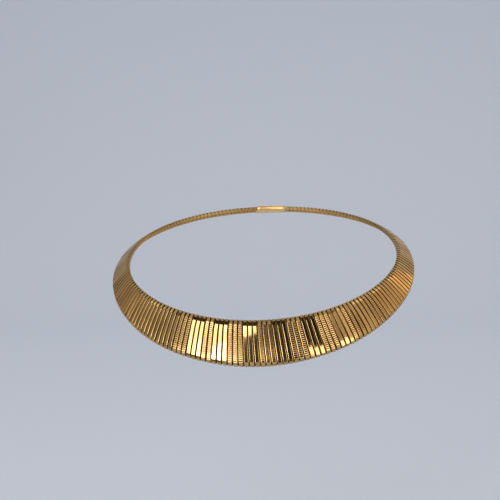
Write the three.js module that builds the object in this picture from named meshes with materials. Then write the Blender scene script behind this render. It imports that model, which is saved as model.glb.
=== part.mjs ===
// A collar choker: a loop of narrow upright metal links, tallest at the front and
// shortest at the nape, in the form that it takes on a neck.
//
// Millimetres. +X is the wearer's left, +Y the wearer's back and +Z up, so that the
// collar's front is at -Y. The origin is the middle of the neck hollow.
// Places round the collar are given by their angle from the front, positive towards +X.

import * as THREE from 'three';

// The loop, measured along the creased top edge of the links' faces
const HALF_WIDTH = 65;       // from the middle to the top edge at the side
const HALF_DEPTH = 60;       // from the middle to the top edge at the front and the back
const SIDE_RISE = 2.7;       // how much higher the top edge runs at the sides
const WORN_TILT = 18;        // degrees that the front hangs below the back

// The links
const LINKS_IN_RUN = 13;     // links joined along their thread in one solid
const RUN_COUNT = 14;
const LINK_PITCH = 2.075;    // from link to link, along the top edge
const FACE_SHARE = 0.7;      // part of the pitch that a link's face takes, the rest being groove
const GROOVE_DEPTH = 0.55;
const LINK_DEPTH = 1.6;      // from the face to the back
const LINK_SLANT = 1;        // degrees round the collar that a link's foot is ahead of its top
const FACE_BULGE = 0.04;     // how far a face swells at mid height, as a part of its width
const LIP_BEND = 24;         // degrees that the lip above the crease turns back from the face
const FOOT_BACK = 1.05;      // how far the foot's edge lies behind the face

// The clasp that closes the loop at the nape
const CLASP_DEPTH = 2.2;
const CLASP_EDGE = 0.5;      // its bevelled edges
const CLASP_STEPS = 4;

const GAP = 0.3;             // between one solid and the next

// One row for each place round half the collar. Degrees from the front: the width of the
// face from crease to foot, its lean out from the upright, and the lip and the foot that
// are turned back above and below it.
const SECTIONS = [
  { angle: 0, width: 18.0, lean: 38, lip: 2.3, foot: 1.4 },
  { angle: 30, width: 16.2, lean: 41, lip: 2.2, foot: 1.35 },
  { angle: 60, width: 12.3, lean: 44, lip: 2.0, foot: 1.2 },
  { angle: 90, width: 8.8, lean: 49, lip: 1.7, foot: 1.1 },
  { angle: 120, width: 6.6, lean: 52, lip: 1.5, foot: 1.0 },
  { angle: 150, width: 5.5, lean: 52, lip: 1.4, foot: 1.0 },
  { angle: 180, width: 5.2, lean: 50, lip: 1.4, foot: 1.0 },
];

const radians = THREE.MathUtils.degToRad;
const HALF_TURN = 180;

// ---- the collar's measures at any place ----

// A smooth curve through one column of the table. The rows beside the front and the nape
// are repeated beyond them, so that the curve is level there.
function columnCurve(column) {
  const rows = [SECTIONS[1], ...SECTIONS, SECTIONS[SECTIONS.length - 2]];
  return new THREE.SplineCurve(rows.map((row, i) => new THREE.Vector2(i, row[column])));
}

const COLUMNS = {
  width: columnCurve('width'),
  lean: columnCurve('lean'),
  lip: columnCurve('lip'),
  foot: columnCurve('foot'),
};

function measure(column, angle) {
  const rowAngle = SECTIONS[1].angle;
  const turned = THREE.MathUtils.euclideanModulo(angle + HALF_TURN, 2 * HALF_TURN) - HALF_TURN;
  const place = Math.abs(turned) / rowAngle + 1;
  return COLUMNS[column].getPoint(place / (SECTIONS.length + 1)).y;
}

// A point of the collar's section, straight up and down: down is measured along the face
// from the crease, and out is measured square to the face.
function uprightPoint(angle, down, out) {
  const turn = radians(angle);
  const lean = radians(measure('lean', angle));
  const outward = new THREE.Vector2(HALF_DEPTH * Math.sin(turn), -HALF_WIDTH * Math.cos(turn));
  outward.normalize();
  const reach = down * Math.sin(lean) + out * Math.cos(lean);
  const height = out * Math.sin(lean) - down * Math.cos(lean);
  return new THREE.Vector3(
    HALF_WIDTH * Math.sin(turn) + outward.x * reach,
    -HALF_DEPTH * Math.cos(turn) + outward.y * reach,
    SIDE_RISE * Math.sin(turn) ** 2 + height,
  );
}

// The same point on a link that slants, so that its foot is ahead of its top
function pointAt(angle, down, out) {
  const ahead = (LINK_SLANT * Math.max(0, down)) / measure('width', angle);
  return uprightPoint(angle + ahead, down, out);
}

// Lengths along the top edge from the front, and back from a length to its angle
const LENGTH_STEP = 0.25;
const lengths = [0];
for (let angle = LENGTH_STEP; angle <= HALF_TURN; angle += LENGTH_STEP) {
  const step = uprightPoint(angle, 0, 0).distanceTo(uprightPoint(angle - LENGTH_STEP, 0, 0));
  lengths.push(lengths[lengths.length - 1] + step);
}
const HALF_LENGTH = lengths[lengths.length - 1];

function angleAtLength(length) {
  const wanted = Math.min(Math.abs(length), HALF_LENGTH);
  const after = Math.max(1, lengths.findIndex((value) => value >= wanted));
  const share = (wanted - lengths[after - 1]) / (lengths[after] - lengths[after - 1]);
  return Math.sign(length) * LENGTH_STEP * (after - 1 + share);
}

// ---- solids ----

// A closed solid through a row of rings with the same number of points. The rings go
// round clockwise for someone who looks from the first towards the last.
function loft(rings) {
  const count = rings[0].length;
  const positions = rings.flat().flatMap((point) => point.toArray());
  const index = [];
  for (let ring = 0; ring < rings.length - 1; ring += 1) {
    for (let i = 0; i < count; i += 1) {
      const a = ring * count + i;
      const b = ring * count + ((i + 1) % count);
      index.push(a, b, a + count, b, b + count, a + count);
    }
  }
  for (let i = 1; i < count - 1; i += 1) {
    const last = (rings.length - 1) * count;
    index.push(0, i + 1, i, last, last + i, last + i + 1);
  }
  const geometry = new THREE.BufferGeometry();
  geometry.setAttribute('position', new THREE.Float32BufferAttribute(positions, 3));
  geometry.setIndex(index);
  geometry.computeVertexNormals();
  return geometry;
}

// The section of a link, sunk by a part of the groove's depth between two links
function linkRing(length, sink) {
  const angle = angleAtLength(length);
  const width = measure('width', angle);
  const heel = width - measure('foot', angle);
  const lipDown = -measure('lip', angle) * Math.cos(radians(LIP_BEND));
  const lipOut = -measure('lip', angle) * Math.sin(radians(LIP_BEND));
  const onFace = (down) => {
    const share = down / width;
    return pointAt(angle, down, 4 * share * (1 - share) * FACE_BULGE * width - sink);
  };
  return [
    pointAt(angle, lipDown, -LINK_DEPTH),
    pointAt(angle, lipDown + sink / 2, lipOut - sink / 2),
    onFace(0),
    onFace(heel / 3),
    onFace((2 * heel) / 3),
    onFace(heel),
    pointAt(angle, width - sink, -FOOT_BACK - sink / 2),
    pointAt(angle, width - FOOT_BACK / 2, -LINK_DEPTH),
  ];
}

function linkRun(firstLink) {
  const halfFace = (LINK_PITCH * FACE_SHARE) / 2;
  const halfGroove = LINK_PITCH / 2 - halfFace;
  const endSink = GROOVE_DEPTH * (1 - GAP / 2 / halfGroove);
  const start = firstLink * LINK_PITCH;
  const end = start + LINKS_IN_RUN * LINK_PITCH;
  const rings = [linkRing(start + GAP / 2, endSink)];
  for (let link = 0; link < LINKS_IN_RUN; link += 1) {
    const middle = start + (link + 0.5) * LINK_PITCH;
    rings.push(linkRing(middle - halfFace, 0), linkRing(middle + halfFace, 0));
    if (link < LINKS_IN_RUN - 1) {
      rings.push(linkRing(middle + LINK_PITCH / 2, GROOVE_DEPTH));
    }
  }
  rings.push(linkRing(end - GAP / 2, endSink));
  return loft(rings);
}

function claspRing(angle) {
  const foot = measure('width', angle);
  const top = -measure('lip', angle);
  const outline = [
    [top + CLASP_EDGE, -CLASP_DEPTH],
    [top, CLASP_EDGE - CLASP_DEPTH],
    [top, -CLASP_EDGE],
    [top + CLASP_EDGE, 0],
    [0, 0],
    [foot - CLASP_EDGE, 0],
    [foot, -CLASP_EDGE],
    [foot, CLASP_EDGE - CLASP_DEPTH],
    [foot - CLASP_EDGE, -CLASP_DEPTH],
  ];
  return outline.map(([down, out]) => pointAt(angle, down, out));
}

function claspBody() {
  const linksLength = (RUN_COUNT * LINKS_IN_RUN * LINK_PITCH) / 2;
  const start = angleAtLength(linksLength + GAP / 2);
  const end = 2 * HALF_TURN - start;
  const rings = [];
  for (let step = 0; step <= CLASP_STEPS; step += 1) {
    rings.push(claspRing(THREE.MathUtils.lerp(start, end, step / CLASP_STEPS)));
  }
  return loft(rings);
}

// ---- the collar ----

const goldPlate = new THREE.MeshStandardMaterial({ color: 0xd9a441, roughness: 0.25, metalness: 1 });
const claspPlate = new THREE.MeshStandardMaterial({ color: 0xc8963c, roughness: 0.35, metalness: 1 });

const collar = new THREE.Group();
collar.rotation.x = radians(WORN_TILT);

for (let run = 0; run < RUN_COUNT; run += 1) {
  const firstLink = run * LINKS_IN_RUN - (RUN_COUNT * LINKS_IN_RUN) / 2;
  const links = new THREE.Mesh(linkRun(firstLink), goldPlate.clone());
  links.name = `links_${String(run + 1).padStart(2, '0')}`;
  collar.add(links);
}

const clasp = new THREE.Mesh(claspBody(), claspPlate);
clasp.name = 'clasp';
collar.add(clasp);

const necklace = new THREE.Group();
necklace.add(collar);

export default necklace;
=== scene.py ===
# %% [markdown]
# # A graduated collar of polished and engraved links
#
# This necklace is a collar: 182 narrow metal links stand side by side round the neck, 18 mm
# tall at the front and 5 mm at the nape. Three links are polished, the next three are
# engraved, and so on round the loop, apart from one engraved group that is a link short.
#
# It could be one bent strip with lines drawn on it, but then every groove would be paint.
# Here each link is a solid of its own, so that light catches its edges as it does on metal.

# %% Load the frame
import math
import random
from collections import namedtuple

import bmesh
import bpy
from mathutils import Matrix, Vector


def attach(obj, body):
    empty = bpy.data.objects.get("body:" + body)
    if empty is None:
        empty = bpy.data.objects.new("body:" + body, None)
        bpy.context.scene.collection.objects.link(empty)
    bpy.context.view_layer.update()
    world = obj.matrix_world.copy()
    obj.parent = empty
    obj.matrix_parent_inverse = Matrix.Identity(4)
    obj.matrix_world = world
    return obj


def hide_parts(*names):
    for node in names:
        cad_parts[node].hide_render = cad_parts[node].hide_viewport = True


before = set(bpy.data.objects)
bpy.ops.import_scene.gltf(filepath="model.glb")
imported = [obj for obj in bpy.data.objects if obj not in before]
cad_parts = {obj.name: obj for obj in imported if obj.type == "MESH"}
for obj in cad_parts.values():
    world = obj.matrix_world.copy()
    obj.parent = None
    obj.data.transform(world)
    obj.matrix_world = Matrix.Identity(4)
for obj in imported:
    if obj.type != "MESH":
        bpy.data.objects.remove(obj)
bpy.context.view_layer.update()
MM = 0.001
print("CAD nodes:", len(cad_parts))

# %% [markdown]
# ## The form of the collar
#
# The loop is an oval. At each place round it the face of a link leans out from the upright,
# more at the sides and nape than at the front, because a collar lies on sloping shoulders.
# A short table holds the section at each 30 degrees, and a smooth curve runs through it.
#
# We could model the front and let a Curve modifier bend it. A function that says where a
# point of the collar is keeps every link at its real length, so that way was chosen.

# %% Sizes of the loop, in millimetres and degrees
HALF_WIDTH = 65
HALF_DEPTH = 60
SIDE_RISE = 2.7
WORN_TILT = 18
LINK_PITCH = 2.075
LINK_SLANT = 1
RUNS = 14
LINKS_IN_RUN = 13
LINKS = RUNS * LINKS_IN_RUN
FIRST_LINK = -LINKS // 2
FACE_BULGE = 0.04
LIP_BEND = math.radians(24)
FOOT_BACK = 1.05
HALF_TURN = 180

Section = namedtuple("Section", "angle width lean lip foot")
SECTIONS = [
    Section(0, 18.0, 38, 2.3, 1.4),
    Section(30, 16.2, 41, 2.2, 1.35),
    Section(60, 12.3, 44, 2.0, 1.2),
    Section(90, 8.8, 49, 1.7, 1.1),
    Section(120, 6.6, 52, 1.5, 1.0),
    Section(150, 5.5, 52, 1.4, 1.0),
    Section(180, 5.2, 50, 1.4, 1.0),
]
ROW_STEP = SECTIONS[1].angle


# %% Measure the section at any angle from the front
def measure(column, angle):
    """One column of the table at an angle, on a smooth curve that is level at both ends."""
    place = abs((angle + HALF_TURN) % (2 * HALF_TURN) - HALF_TURN) / ROW_STEP
    row = min(int(place), len(SECTIONS) - 2)
    t = place - row
    last = len(SECTIONS) - 1
    rows = [SECTIONS[last - abs(last - abs(row + step))] for step in (-1, 0, 1, 2)]
    before, start, end, after = (getattr(section, column) for section in rows)
    leaving = (end - before) / 2
    arriving = (after - start) / 2
    cubic = 2 * start - 2 * end + leaving + arriving
    square = 3 * end - 3 * start - 2 * leaving - arriving
    return ((cubic * t + square) * t + leaving) * t + start


print("width of the collar at the side, mm:", round(measure("width", 90), 1))


# %% Find a point of the collar
WORN = Matrix.Rotation(math.radians(WORN_TILT), 4, "X")


def upright_point(angle, down, out):
    """A point of the section: down the face from its crease, and out square to the face."""
    turn = math.radians(angle)
    lean = math.radians(measure("lean", angle))
    outward = Vector((HALF_DEPTH * math.sin(turn), -HALF_WIDTH * math.cos(turn))).normalized()
    reach = down * math.sin(lean) + out * math.cos(lean)
    height = out * math.sin(lean) - down * math.cos(lean)
    return Vector((
        HALF_WIDTH * math.sin(turn) + outward.x * reach,
        -HALF_DEPTH * math.cos(turn) + outward.y * reach,
        SIDE_RISE * math.sin(turn) ** 2 + height,
    ))


def collar_point(angle, down, out):
    """The same point on a slanting link, as worn, in metres."""
    ahead = LINK_SLANT * max(0, down) / measure("width", angle)
    return WORN @ (upright_point(angle + ahead, down, out) * MM)


# %% Turn a length along the top edge into an angle
LENGTH_STEP = 0.5
lengths = [0]
for step in range(int(HALF_TURN / LENGTH_STEP)):
    here = upright_point(step * LENGTH_STEP, 0, 0)
    there = upright_point((step + 1) * LENGTH_STEP, 0, 0)
    lengths.append(lengths[-1] + (there - here).length)


def angle_at(length):
    """The angle from the front that lies a length along the top edge."""
    wanted = min(abs(length), lengths[-1])
    after = max(1, next(i for i, value in enumerate(lengths) if value >= wanted))
    share = (wanted - lengths[after - 1]) / (lengths[after] - lengths[after - 1])
    return math.copysign(LENGTH_STEP * (after - 1 + share), length)


print("length of the loop along its top edge, mm:", round(2 * lengths[-1], 1))

# %% [markdown]
# ## The camera
#
# The camera comes early, because each choice of detail depends on how large a link looks. It
# is turned slightly down towards the collar's tall front. It could be put at a point in the
# room, but an orbit round the collar's own plane is easier to adjust, so its place is given
# that way and the worn tilt is applied on top.

# %% Camera
VIEW_DISTANCE = 0.52
VIEW_RISE = 27.4
VIEW_TURN = 6
VIEW_ROLL = -3.6
LENS = 78.9
VIEW_SHIFT = (-0.0255, 0.0189)
NEAREST_SEEN = 0.01

camera = bpy.data.objects.new("camera", bpy.data.cameras.new("camera"))
bpy.context.scene.collection.objects.link(camera)
bpy.context.scene.camera = camera
camera.data.lens = LENS
camera.data.shift_x, camera.data.shift_y = VIEW_SHIFT
camera.data.clip_start = NEAREST_SEEN
camera.matrix_world = (
    WORN
    @ Matrix.Rotation(math.radians(VIEW_TURN), 4, "Z")
    @ Matrix.Rotation(math.radians(90 - VIEW_RISE), 4, "X")
    @ Matrix.Translation((0, 0, VIEW_DISTANCE))
    @ Matrix.Rotation(math.radians(VIEW_ROLL), 4, "Z")
)
print("camera height above the collar's middle, m:", round(camera.matrix_world.translation.z, 3))

# %% [markdown]
# ## The blank of a link
#
# Every link has the same form and a length of its own. We could model 182 of them, but one
# straight blank that is bent to each place keeps them alike. It is made flat, from a cube. A
# cut at its waist lets it widen there until it almost meets the next link, so that no light
# comes through. Its top is narrower, which leaves a groove between one link and the next. The
# two long edges of the top are bevelled into narrow shoulders that fall into the groove.
#
# Along its length the blank is measured in rows, not millimetres. Cuts at each whole row give
# it the joints at which it will bend: the lip, the crease, the long face, the heel and the foot.

# %% Sizes of the blank, in millimetres and rows
TOP_HALF = 0.37 * LINK_PITCH
WAIST_HALF = 0.497 * LINK_PITCH
BACK_HALF = 0.45 * LINK_PITCH
SHOULDER = 0.065 * LINK_PITCH
SHOULDER_FALL = 0.6
SHOULDER_DEPTH = SHOULDER * SHOULDER_FALL
WAIST_DEPTH = 0.9
LINK_DEPTH = 1.5
LIP_ROW, CREASE_ROW, FACE_ROW, HEEL_ROW, FOOT_ROW, LAST_ROW = 0, 1, 2, 5, 6, 7
ACROSS, ALONG, DEEP = 0, 1, 2
SAME = 1e-4


# %% Cut a whole mesh square to an axis
def cut_across(bm, axis, places):
    """Cuts every face that a plane at each place passes through."""
    normal = Vector((0, 0, 0))
    normal[axis] = 1
    for place in places:
        everything = bm.verts[:] + bm.edges[:] + bm.faces[:]
        bmesh.ops.bisect_plane(bm, geom=everything, plane_co=normal * place, plane_no=normal)


# %% Make the blank
def at_depth(bm, depth):
    """The corners of the blank at one depth under the face."""
    return [vert for vert in bm.verts if abs(vert.co.z + depth) < SAME]


def runs_along(edge):
    """True for an edge that runs the long way of the blank."""
    one, two = (vert.co for vert in edge.verts)
    return abs(one.x - two.x) < SAME and abs(one.z - two.z) < SAME


def soften(bm):
    """Smooth shading, with a hard edge wherever the metal turns sharply."""
    for face in bm.faces:
        face.smooth = True
    for edge in bm.edges:
        one, two = (vert.co for vert in edge.verts)
        if runs_along(edge):
            edge.smooth = -SHOULDER_DEPTH / 2 < one.z < -SAME
        else:
            row = round(one.y)
            edge.smooth = row == round(two.y) and FACE_ROW < row < HEEL_ROW


def make_blank():
    """A flat link: x across, y along in rows, and z up to a face at height 0."""
    bm = bmesh.new()
    bmesh.ops.create_cube(bm, size=1)
    bmesh.ops.scale(bm, vec=(2 * BACK_HALF, LAST_ROW, LINK_DEPTH), verts=bm.verts)
    bmesh.ops.translate(bm, vec=(0, LAST_ROW / 2, -LINK_DEPTH / 2), verts=bm.verts)
    cut_across(bm, DEEP, [-WAIST_DEPTH])
    for depth, half in ((0, TOP_HALF), (WAIST_DEPTH, WAIST_HALF)):
        bmesh.ops.scale(bm, vec=(half / BACK_HALF, 1, 1), verts=at_depth(bm, depth))
    rims = [edge for edge in bm.edges if runs_along(edge) and abs(edge.verts[0].co.z) < SAME]
    bmesh.ops.bevel(
        bm, geom=rims, offset=SHOULDER, affect="EDGES", segments=2, profile=0.5, material=-1
    )
    shoulders = [vert for vert in bm.verts if vert.co.z > -WAIST_DEPTH / 2]
    bmesh.ops.scale(bm, vec=(1, 1, SHOULDER_FALL), verts=shoulders)
    cut_across(bm, ALONG, range(1, LAST_ROW))
    bmesh.ops.recalc_face_normals(bm, faces=bm.faces)
    soften(bm)
    return bm


blank = make_blank()
blank_mesh = bpy.data.meshes.new("link_blank")
blank.to_mesh(blank_mesh)
closed = all(edge.is_manifold for edge in blank.edges)
print("faces of one link:", len(blank.faces), "closed:", closed)
blank.free()

# %% [markdown]
# ## Bending the blank
#
# Each row of the blank gets its place on the section of the collar. The lip turns back above
# the crease. The face is a little swollen at mid height. Narrow facets at the crease and the
# heel turn away from it, and they show as dark marks at both ends of a polished face. They
# are smaller on an engraved one. The foot is turned back under the face.
#
# A Simple Deform modifier would bend the blank evenly, but a link has sharp bends and flat
# lengths between them, so each row is placed by itself.
#
# A row also needs a direction to sink in, so that the metal keeps its thickness round a bend.
# It is square to the line from the row before to the row after.

# %% The rows of a link at an angle
CREASE_UP = 1.25
CREASE_DOWN = 0.6
HEEL_UP = 0.5
HEEL_DOWN = 0.5
HEEL_TURN = math.radians(15)
FACE_END_SHARE = 0.2
ENGRAVED_FACETS = 0.3
ROW_WIDTHS = (0.84, 0.92, 1, 1, 1, 1, 1, 0.92)


def link_rows(angle, facets):
    """(down, out) of each row of a link, and the direction into the metal there."""
    width = measure("width", angle)
    lip = measure("lip", angle)
    heel = width - measure("foot", angle)
    size = facets * (width / SECTIONS[0].width) ** 2

    def on_face(down):
        # The swelling is a parabola, highest half way down.
        share = down / width
        return Vector((down, 4 * share * (1 - share) * FACE_BULGE * width))

    up_lip = Vector((-math.cos(LIP_BEND), -math.sin(LIP_BEND)))
    top = CREASE_DOWN * size
    end = heel - HEEL_UP * size
    end_step = (end - top) * FACE_END_SHARE
    turn = (HEEL_UP + HEEL_DOWN) * size
    rows = [
        up_lip * lip,
        up_lip * CREASE_UP * size,
        on_face(top),
        on_face(top + end_step),
        on_face(end - end_step),
        on_face(end),
        on_face(end) + Vector((turn, -turn * math.tan(HEEL_TURN))),
        Vector((width, -FOOT_BACK)),
    ]
    inward = []
    for i in range(len(rows)):
        along = rows[min(i + 1, LAST_ROW)] - rows[max(i - 1, 0)]
        inward.append(Vector((along.y, -along.x)).normalized())
    return rows, inward


# %% [markdown]
# ## Laying the links
#
# A run of links is one mesh for each finish. The blank is copied in once for each link, and
# each corner of the copy moves to its place on the collar. An Array modifier repeats a link
# by even steps, and these change in length and lean by uneven ones. Links made by hand never
# lie quite even, so each is turned and tipped by about half a degree. The random numbers have
# a seed, so that the collar is the same each time.
#
# Three values are kept at each corner for the finishes: how tarnished it is by the groove,
# with painted shade in the same brown, how dull it is, as on the turned lip and foot, whose
# darker gold is painted shade, and how much of it is flat face, which an engraver cuts. A map in
# units of 10 mm runs down each link, so that the cuts follow its bends.

# %% Which links are polished
GROUP = 3
GROUP_START = 2
SHORT_GROUP_LINK = -10


def is_polished(link):
    """Groups of three, except one engraved group that is a link short."""
    place = link if link >= SHORT_GROUP_LINK else link - 1
    return (place + GROUP_START) % (2 * GROUP) < GROUP


print("polished links:", sum(is_polished(FIRST_LINK + i) for i in range(LINKS)))


# %% Mark the corners of a face for the finishes
Corner = namedtuple("Corner", "across depth row")
VALUES = ("groove_tarnish_and_shade", "turned", "flat_face")
MAP_NAME = "UVMap"
MAP_UNIT = 10
MAP_STEP = 0.5
# How much of the duller finish and its painted shade reaches the shoulders.
SHOULDER_DULL_AND_SHADE = 0.3
# How much tarnish and painted groove shade reaches the foot of a shoulder.
SHOULDER_TARNISH_AND_SHADE = 0.85
HEEL_CUTS = 0.5


def mark_face(bm, face, corners, reach, link):
    """Keeps the three values and the map at each corner of a face."""
    groove_tarnish_and_shade, turned, flat_face = (bm.loops.layers.float[name] for name in VALUES)
    link_map = bm.loops.layers.uv[MAP_NAME]
    depths = [corners[vert].depth for vert in face.verts]
    rows = {corners[vert].row for vert in face.verts}
    above_waist = max(depths) < WAIST_DEPTH / 2
    on_top = max(depths) < SAME
    on_back = min(depths) > LINK_DEPTH - SAME
    on_end = len(rows) == 1
    on_wall = not (above_waist or on_back or on_end)
    on_lip_or_foot = rows in ({LIP_ROW, CREASE_ROW}, {FOOT_ROW, LAST_ROW})
    for loop in face.loops:
        across, depth, row = corners[loop.vert]
        start = across - math.copysign(depth, across)
        loop[link_map].uv = (start / MAP_UNIT + MAP_STEP * link, reach[row] / MAP_UNIT)
        # Tarnish and painted shade: full on the groove walls, rising up the shoulders.
        fall = depth / SHOULDER_DEPTH if above_waist else 0
        loop[groove_tarnish_and_shade] = 1.0 if on_wall else SHOULDER_TARNISH_AND_SHADE * fall
        # Dullness and painted shade: full on the lip, foot and ends, a share on the shoulders.
        dull_and_shade = 0.0 if on_top else SHOULDER_DULL_AND_SHADE
        loop[turned] = 1.0 if on_lip_or_foot or on_end else dull_and_shade
        cuts = HEEL_CUTS if row == HEEL_ROW else 1.0
        loop[flat_face] = cuts if on_top and not on_lip_or_foot else 0.0


# %% Lay one link
TWIST = math.radians(0.7)
TIP = math.radians(0.4)
TIP_ROW = FACE_ROW + 1


def lay_link(bm, link, chance):
    """Copies the blank into bm and moves it to a link's place."""
    known = len(bm.verts)
    bm.from_mesh(blank_mesh)
    bm.verts.ensure_lookup_table()
    new = bm.verts[known:]
    middle = (link + 0.5) * LINK_PITCH
    facets = 1 if is_polished(link) else ENGRAVED_FACETS
    rows, inward = link_rows(angle_at(middle), facets)
    reach = [0]
    for one, two in zip(rows, rows[1:]):
        reach.append(reach[-1] + (two - one).length)
    twist = chance.gauss(0, TWIST)
    tip = chance.gauss(0, TIP)
    corners = {}
    for vert in new:
        x, y, z = vert.co
        row = round(y)
        if z > -WAIST_DEPTH / 2:
            x *= ROW_WIDTHS[row]
        corners[vert] = Corner(x, -z, row)
        spot = rows[row] + inward[row] * -z
        out = spot.y + x * twist + (rows[row].x - rows[TIP_ROW].x) * tip
        vert.co = collar_point(angle_at(middle + x), spot.x, out)
    for face in {face for vert in new for face in vert.link_faces}:
        mark_face(bm, face, corners, reach, link)


# %% Lay a run of links in one finish
def new_piece(name, bm):
    """An object from a bmesh, linked to the scene with its place in its mesh."""
    mesh = bpy.data.meshes.new(name)
    bm.to_mesh(mesh)
    bm.free()
    piece = bpy.data.objects.new(name, mesh)
    bpy.context.scene.collection.objects.link(piece)
    return piece


def link_run(name, links, chance):
    """A mesh of separate links."""
    bm = bmesh.new()
    for value in VALUES:
        bm.loops.layers.float.new(value)
    bm.loops.layers.uv.new(MAP_NAME)
    for link in links:
        lay_link(bm, link, chance)
    return new_piece(name, bm)


# %% Lay every run
SEED = 11
chance = random.Random(SEED)
runs = {"polished": [], "engraved": []}
for run in range(RUNS):
    first = FIRST_LINK + run * LINKS_IN_RUN
    node = f"links_{run + 1:02d}"
    for finish, pieces in runs.items():
        wanted = finish == "polished"
        links = [i for i in range(first, first + LINKS_IN_RUN) if is_polished(i) == wanted]
        piece = link_run(f"{finish}_{node}", links, chance)
        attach(piece, "root")
        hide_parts(node)
        pieces.append(piece)
faces = runs["polished"][0].data.polygons
print("triangles in the first polished run:", sum(len(face.vertices) - 2 for face in faces))

# %% [markdown]
# ## The clasp
#
# The clasp closes the loop at the nape, where nobody sees it when the collar is worn. It
# could have a tongue and a catch, but they would be guesses, so it is one plain box with
# bevelled edges, curved to the neck. We start from a cube as before, cut it across so that it
# can curve, and lay it in its place on the collar.

# %% Make the clasp
CLASP_DEPTH = 2.2
CLASP_BEVEL = 0.5
CLASP_CUTS = 8
GAP = 0.15


def make_clasp():
    """A plain box from the last link to the first, round the nape."""
    bm = bmesh.new()
    bmesh.ops.create_cube(bm, size=1)
    links_end = LINKS * LINK_PITCH / 2
    length = 2 * (lengths[-1] - links_end - GAP)
    half_angle = HALF_TURN - angle_at(links_end + GAP)
    section = SECTIONS[-1]
    height = section.width + section.lip
    bmesh.ops.scale(bm, vec=(length, height, CLASP_DEPTH), verts=bm.verts)
    bmesh.ops.bevel(
        bm, geom=bm.edges[:], offset=CLASP_BEVEL, affect="EDGES", segments=3, profile=0.5,
        material=-1,
    )
    cut_across(bm, ACROSS, [length * (i / CLASP_CUTS - 0.5) for i in range(1, CLASP_CUTS)])
    for vert in bm.verts:
        x, y, z = vert.co
        down = y + height / 2 - section.lip
        angle = HALF_TURN + x / length * 2 * half_angle
        vert.co = collar_point(angle, down, z - CLASP_DEPTH / 2)
    bmesh.ops.recalc_face_normals(bm, faces=bm.faces)
    for face in bm.faces:
        face.smooth = True
    return new_piece("plain_clasp", bm)


clasp = make_clasp()
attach(clasp, "root")
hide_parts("clasp")
print("clasp length, mm:", round(clasp.dimensions.x / MM, 1))

# %% [markdown]
# ## Writing a material as sums
#
# A finish is arithmetic on patterns: a groove mask times a tarnish colour, one minus a
# scratch. Node by node that is hard to read, so a small class wraps one output of a node, and
# its operators add the Math nodes. Everything else comes from one method that takes a node's
# type, its settings and its inputs.


# %% A wire that can be added and multiplied
class Wire:
    """One output of a shader node."""

    def __init__(self, nodes, socket):
        self.nodes = nodes
        self.socket = socket

    def __add__(self, other):
        return self.nodes.maths("ADD", self, other)

    def __sub__(self, other):
        return self.nodes.maths("SUBTRACT", self, other)

    def __rsub__(self, other):
        return self.nodes.maths("SUBTRACT", other, self)

    def __mul__(self, other):
        return self.nodes.maths("MULTIPLY", self, other)

    __radd__ = __add__
    __rmul__ = __mul__


# %% Nodes that are being put together
class Nodes:
    """A node tree, and the ways to add to it."""

    def __init__(self, tree):
        self.tree = tree

    def node(self, kind, settings=None, inputs=None, output=0):
        """Adds a node: its settings first, then its inputs, each a value or a wire."""
        node = self.tree.nodes.new(kind)
        for name, value in (settings or {}).items():
            if name == "stops":
                self.set_stops(node.color_ramp.elements, value)
            else:
                setattr(node, name, value)
        for name, value in (inputs or {}).items():
            self.feed(node.inputs[name], value)
        return Wire(self, node.outputs[output])

    def set_stops(self, stops, values):
        """Places and colours the stops of a ramp, which starts with two."""
        for i, (place, colour) in enumerate(values):
            stop = stops[i] if i < 2 else stops.new(place)
            stop.position = place
            stop.color = colour

    def feed(self, socket, value):
        """Sets a socket to a value, or links a wire to it."""
        if isinstance(value, Wire):
            self.tree.links.new(value.socket, socket)
        else:
            socket.default_value = value

    def maths(self, operation, *values):
        """One sum on values or wires."""
        return self.node("ShaderNodeMath", {"operation": operation}, dict(enumerate(values)))

    def blend(self, factor, first, second):
        """A mix of two colours."""
        mix = {"data_type": "RGBA"}
        return self.node("ShaderNodeMix", mix, {0: factor, 6: first, 7: second}, output=2)

    def split(self, vector):
        """The three parts of a vector."""
        first = self.node("ShaderNodeSeparateXYZ", inputs={"Vector": vector})
        return [Wire(self, socket) for socket in first.socket.node.outputs]

    def smooth_step(self, value, low, high):
        """0 below the low value, 1 above the high one, and a smooth rise between them."""
        smooth = {"interpolation_type": "SMOOTHSTEP"}
        inputs = {"Value": value, "From Min": low, "From Max": high}
        return self.node("ShaderNodeMapRange", smooth, inputs, output="Result")


# %% A finish
class Finish(Nodes):
    """A material with one Principled shader, and the wires that feed it."""

    def __init__(self, name):
        self.material = bpy.data.materials.new(name)
        self.material.use_nodes = True
        super().__init__(self.material.node_tree)
        self.shader = self.tree.nodes["Principled BSDF"]

    def set(self, **sockets):
        """Feeds the shader's own sockets, by their names with _ for a space."""
        for name, value in sockets.items():
            self.feed(self.shader.inputs[name.replace("_", " ").title()], value)

    def attribute(self, name):
        """A value that the mesh keeps at its corners."""
        return self.node("ShaderNodeAttribute", {"attribute_name": name}, output="Fac")

    def noise(self, scale):
        """A cloudy pattern that stays fixed to the piece."""
        inputs = {"Vector": self.node("ShaderNodeTexCoord", output="Object"), "Scale": scale}
        return self.node("ShaderNodeTexNoise", inputs=inputs)

    def bump(self, height, strength, distance):
        """A surface that only looks raised, by a height from 0 to 1 times a distance."""
        inputs = {"Height": height, "Strength": strength, "Distance": distance}
        return self.node("ShaderNodeBump", inputs=inputs)


# %% [markdown]
# ## Gold plate
#
# Both kinds of link have the same yellow plate. The walls of a groove never meet the
# polishing wheel, so they are rough and brown with tarnish, and that brown is also painted
# shade, as dark as the deep groove would be; it creeps up the shoulders too. The lip, the foot
# and the shoulders are duller than the face, because the wheel passes over them at an angle,
# and their darker gold is painted shade.
#
# One material could serve both kinds, with a mask to tell them apart. Two are easier to read,
# and what they share is one function.

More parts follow.
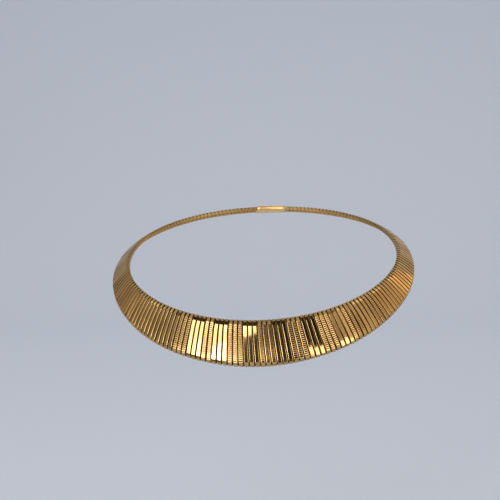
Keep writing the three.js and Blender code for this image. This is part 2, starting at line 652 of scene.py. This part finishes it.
# %% Colours of the plate
GOLD = (0.94, 0.59, 0.23, 1)
# Tarnish brown, also used as painted shade in the grooves and on the shoulders.
TARNISH_AND_SHADE = (0.15, 0.042, 0.004, 1)
# A darker gold, painted shade on the lip, foot, ends and shoulders.
DULL_SHADED_GOLD = (0.60, 0.39, 0.15, 1)
# Painted shade in the engraved cuts.
SHADED_CUT_GOLD = (0.36, 0.20, 0.065, 1)

# %% What both kinds of link share
Roughness = namedtuple("Roughness", "face pattern turned wall")
WALL_MARK = 0.9


def plate(finish, metal, pattern, rough, bump):
    """Dull parts and tarnish, both with painted shade, over a metal colour, on a face that a
    pattern roughens.
    """
    groove_tarnish_and_shade = finish.attribute("groove_tarnish_and_shade")
    turned = finish.attribute("turned")
    wall = finish.maths("GREATER_THAN", groove_tarnish_and_shade, WALL_MARK)
    # The lip, foot, ends and shoulders are painted a darker gold, as shade.
    colour = finish.blend(turned, metal, DULL_SHADED_GOLD)
    # Groove walls and shoulders are painted tarnish brown, partly as shade.
    colour = finish.blend(groove_tarnish_and_shade, colour, TARNISH_AND_SHADE)
    roughness = rough.face + pattern * rough.pattern + turned * rough.turned + wall * rough.wall
    finish.set(base_color=colour, metallic=1.0, roughness=roughness, normal=bump)
    return finish.material


# %% [markdown]
# ## Polished links
#
# A polished link is nearly a mirror. Rubbing has dulled it a little here and there, and its
# face is never quite flat, so reflections in it waver. Both come from noise. Real dents in
# the mesh would need many more faces on each link.

# %% Polished gold
POLISHED = Roughness(face=0.06, pattern=0.06, turned=0.30, wall=0.55)
WEAR_SCALE = 900.0
DENT_SCALE = 350.0
DENT_STRENGTH = 0.2
DENT_DEPTH = 0.0001


def polished_gold():
    """Nearly a mirror, with faint wear and dents."""
    finish = Finish("polished_gold")
    dents = finish.bump(finish.noise(DENT_SCALE), DENT_STRENGTH, DENT_DEPTH)
    return plate(finish, GOLD, finish.noise(WEAR_SCALE), POLISHED, dents)


# %% [markdown]
# ## Engraved links
#
# Fine cuts run straight across the face of an engraved link, a little under a millimetre
# apart. Cuts in the mesh would take dozens of faces on every link, so they are a wave down
# the link's own map instead, which raises the face between cuts and darkens it in them with
# painted shade, the shade that would fall in a real cut.

# %% Engraved gold
ENGRAVED = Roughness(face=0.08, pattern=0.12, turned=0.28, wall=0.55)
CUT_PITCH = 0.86
CUT_STRENGTH = 1.0
CUT_DEPTH = 0.00008


def engraved_gold():
    """Fine cuts straight across each face, darkened in them by painted shade."""
    finish = Finish("engraved_gold")
    link_map = finish.node("ShaderNodeUVMap", {"uv_map": MAP_NAME})
    down = finish.split(link_map)[1]
    wave = finish.maths("SINE", down * (2 * math.pi * MAP_UNIT / CUT_PITCH))
    height = wave * 0.5 + 0.5
    cut_shade = (1 - height) * (1 - height)
    engraved = finish.attribute("flat_face")
    # The cuts are painted darker, as shade that falls in them.
    metal = finish.blend(engraved * cut_shade, GOLD, SHADED_CUT_GOLD)
    cuts = finish.bump(height * engraved, CUT_STRENGTH, CUT_DEPTH)
    return plate(finish, metal, engraved, ENGRAVED, cuts)


# %% [markdown]
# ## The clasp's finish
#
# The clasp is plated like the links, but nobody polishes a part that hides under the hair. It
# could share the polished finish, and then it would look like a jewel. It has a satin one.

# %% Clasp gold
CLASP_ROUGHNESS = 0.25
CLASP_WEAR = 0.15
CLASP_WEAR_SCALE = 700.0


def clasp_gold():
    """A satin plate."""
    finish = Finish("clasp_gold")
    roughness = CLASP_ROUGHNESS + finish.noise(CLASP_WEAR_SCALE) * CLASP_WEAR
    finish.set(base_color=GOLD, metallic=1.0, roughness=roughness)
    return finish.material


# %% Give each piece its finish
FINISHES = (
    (runs["polished"], polished_gold(), "polished_gold"),
    (runs["engraved"], engraved_gold(), "engraved_gold"),
    ([clasp], clasp_gold(), "clasp_gold"),
)
for pieces, material, slot in FINISHES:
    for piece in pieces:
        piece.data.materials.append(material)

# %% [markdown]
# ## The stage
#
# The collar is held up as a neck would hold it, above a plain pale floor that sweeps up into
# the backdrop. A floor and a wall would meet in a line behind the collar, so they are one
# surface: a corner is pulled along the floor, spun a quarter turn and pulled up, and the line
# that this leaves is pulled across.

# %% Floor and backdrop
FLOOR_HEIGHT = -0.16
FLOOR_NEAR = -1.6
FLOOR_FAR = 0.55
SWEEP_RADIUS = 0.35
SWEEP_STEPS = 16
WALL_TOP = 1.8
STAGE_HALF = 1.1
STAGE_COLOUR = (0.62, 0.66, 0.74, 1)
STAGE_ROUGHNESS = 0.9


def corners_in(made):
    """The corners among what an operator made."""
    return [item for item in made if isinstance(item, bmesh.types.BMVert)]


def pull(bm, verts, vec):
    """Extrudes a row of corners along a line, and gives the new row."""
    made = bmesh.ops.extrude_vert_indiv(bm, verts=verts)
    bmesh.ops.translate(bm, vec=vec, verts=made["verts"])
    return made["verts"]


def make_stage():
    """A floor that curves up into a backdrop."""
    bm = bmesh.new()
    start = bmesh.ops.create_vert(bm, co=(-STAGE_HALF, FLOOR_NEAR, FLOOR_HEIGHT))["vert"]
    far = pull(bm, start, (0, FLOOR_FAR - FLOOR_NEAR, 0))
    centre = (-STAGE_HALF, FLOOR_FAR, FLOOR_HEIGHT + SWEEP_RADIUS)
    swept = bmesh.ops.spin(
        bm, geom=far, cent=centre, axis=(1, 0, 0), angle=math.radians(90), steps=SWEEP_STEPS
    )
    pull(bm, corners_in(swept["geom_last"]), (0, 0, WALL_TOP))
    across = bmesh.ops.extrude_edge_only(bm, edges=bm.edges[:])
    bmesh.ops.translate(bm, vec=(2 * STAGE_HALF, 0, 0), verts=corners_in(across["geom"]))
    for face in bm.faces:
        face.smooth = True
    return new_piece("stage_sweep", bm)


def stage_paint():
    """Plain matt paint."""
    finish = Finish("stage_paint")
    finish.set(base_color=STAGE_COLOUR, roughness=STAGE_ROUGHNESS)
    return finish.material


stage = make_stage()
stage.data.materials.append(stage_paint())
print("faces of the stage:", len(stage.data.polygons))

# %% [markdown]
# ## Light
#
# A mirror shows its surroundings, so lighting polished links means choosing what they
# reflect. Bulbs would give hard sparks, and one big white tent would hide the form. Soft
# windows and lamps in a darker room leave some links bright beside others that are dark.
#
# A tall window on the left whitens the links left of the middle, and its two lower panes are
# brighter. A round lamp high up lights only the tops of the three links at the middle. A low
# window on the right touches only the feet, because the lower end of a swollen face looks
# lower. The backdrop has a wash of its own, which the metal doesn't reflect.

# %% Soft lights
SoftLight = namedtuple("SoftLight", "name shape azimuth height distance width tall power")
LIGHTS = [
    SoftLight("window_left", "RECTANGLE", -30.4, 26, 1.2, 0.74, 0.80, 3.3),
    SoftLight("window_left_middle", "RECTANGLE", -29, 15, 1.18, 0.40, 0.42, 1.25),
    SoftLight("window_left_low", "RECTANGLE", -25, 12, 1.16, 0.26, 0.26, 0.75),
    SoftLight("round_lamp", "ELLIPSE", -12.3, 38.5, 1.2, 0.445, 0.44, 0.82),
    SoftLight("window_low_right", "RECTANGLE", 39, 10, 1.2, 0.72, 0.54, 2.2),
]
WASH = SoftLight("backdrop_wash", "RECTANGLE", 0, 0, 0, 2.0, 1.0, 6.9)
WASH_PLACE = (0, 0.3, 1.0)
WASH_TURN = math.radians(30)


def soft_light(light):
    """An area light that faces the collar, placed by its direction from the front."""
    data = bpy.data.lights.new(light.name, "AREA")
    data.shape = light.shape
    data.size = light.width
    data.size_y = light.tall
    data.energy = light.power
    lamp = bpy.data.objects.new(light.name, data)
    bpy.context.scene.collection.objects.link(lamp)
    lamp.matrix_world = (
        Matrix.Rotation(math.radians(light.azimuth), 4, "Z")
        @ Matrix.Rotation(math.radians(90 - light.height), 4, "X")
        @ Matrix.Translation((0, 0, light.distance))
    )
    return lamp


for light in LIGHTS:
    soft_light(light)

# The wash hangs above the collar and faces the foot of the backdrop.
wash = soft_light(WASH)
wash.matrix_world = Matrix.Translation(WASH_PLACE) @ Matrix.Rotation(WASH_TURN, 4, "X")
wash.visible_glossy = False
print("soft lights:", len(LIGHTS) + 1)

# %% [markdown]
# ## The room
#
# What the windows don't fill, the metal shows as the room. A room could be built from walls,
# but only their shades matter, so they are painted on the world by direction. A ramp of greys
# runs round it, with a share of a turn for each stop: 0 is behind the collar, 0.25 to the
# left, 0.5 in front and 0.75 to the right. It is dim on the left, nearly black in front, and
# pale and warm on the right. The ceiling is dark in front and pale behind.
#
# None of this should show past the edge of the floor, so there the camera sees a plain pale
# wall.


# %% Shades of the room
def grey(value, warmth=0.0):
    """A grey that warmth pulls towards red, and away from blue."""
    return (value * (1 + warmth), value, value * (1 - warmth), 1)


WALLS = [
    (0.0, grey(0.45)),
    (0.16, grey(0.25, 0.02)),
    (0.34, grey(0.22, 0.02)),
    (0.47, grey(0.05)),
    (0.50, grey(0.045)),
    (0.54, grey(0.018, -0.4)),
    (0.61, grey(0.018, -0.4)),
    (0.642, grey(0.58, 0.10)),
    (0.72, grey(0.30, 0.12)),
    (0.79, grey(0.38, 0.25)),
    (0.86, grey(0.95, 0.3)),
]
DARK_CEILING = (0.02, 0.022, 0.024, 1)
PALE_CEILING = (0.74, 0.74, 0.72, 1)
PALE_WALL = (0.36, 0.39, 0.44, 1)
CEILING_STARTS, CEILING_FULL = math.radians(46), math.radians(52)
DARK_ENDS, PALE_STARTS = -0.34, -0.26
SIDE_SHARE = 0.4


# %% Paint the room on the world
def paint_room():
    """A ring of walls under a ceiling, and a plain wall for the camera."""
    world = bpy.data.worlds.new("room")
    bpy.context.scene.world = world
    world.use_nodes = True
    nodes = Nodes(world.node_tree)
    direction = nodes.node("ShaderNodeTexCoord", output="Generated")
    east, north, up = nodes.split(direction)
    turn = nodes.maths("ARCTAN2", east, north * -1) * (1 / (2 * math.pi)) + 0.5
    walls = nodes.node("ShaderNodeValToRGB", {"stops": WALLS}, {"Fac": turn}, output="Color")
    sideways = nodes.maths("ABSOLUTE", east)
    behind = nodes.smooth_step(north - sideways * SIDE_SHARE, DARK_ENDS, PALE_STARTS)
    ceiling = nodes.blend(behind, DARK_CEILING, PALE_CEILING)
    overhead = nodes.smooth_step(nodes.maths("ARCSINE", up), CEILING_STARTS, CEILING_FULL)
    colour = nodes.blend(overhead, walls, ceiling)
    seen = nodes.node("ShaderNodeLightPath", output="Is Camera Ray")
    colour = nodes.blend(seen, colour, PALE_WALL)
    background = world.node_tree.nodes["Background"]
    nodes.feed(background.inputs["Color"], colour)
    nodes.feed(background.inputs["Strength"], 1.0)
    return world


room = paint_room()
print("nodes of the room:", len(room.node_tree.nodes))
bpy.context.scene.view_settings.view_transform = "Standard"
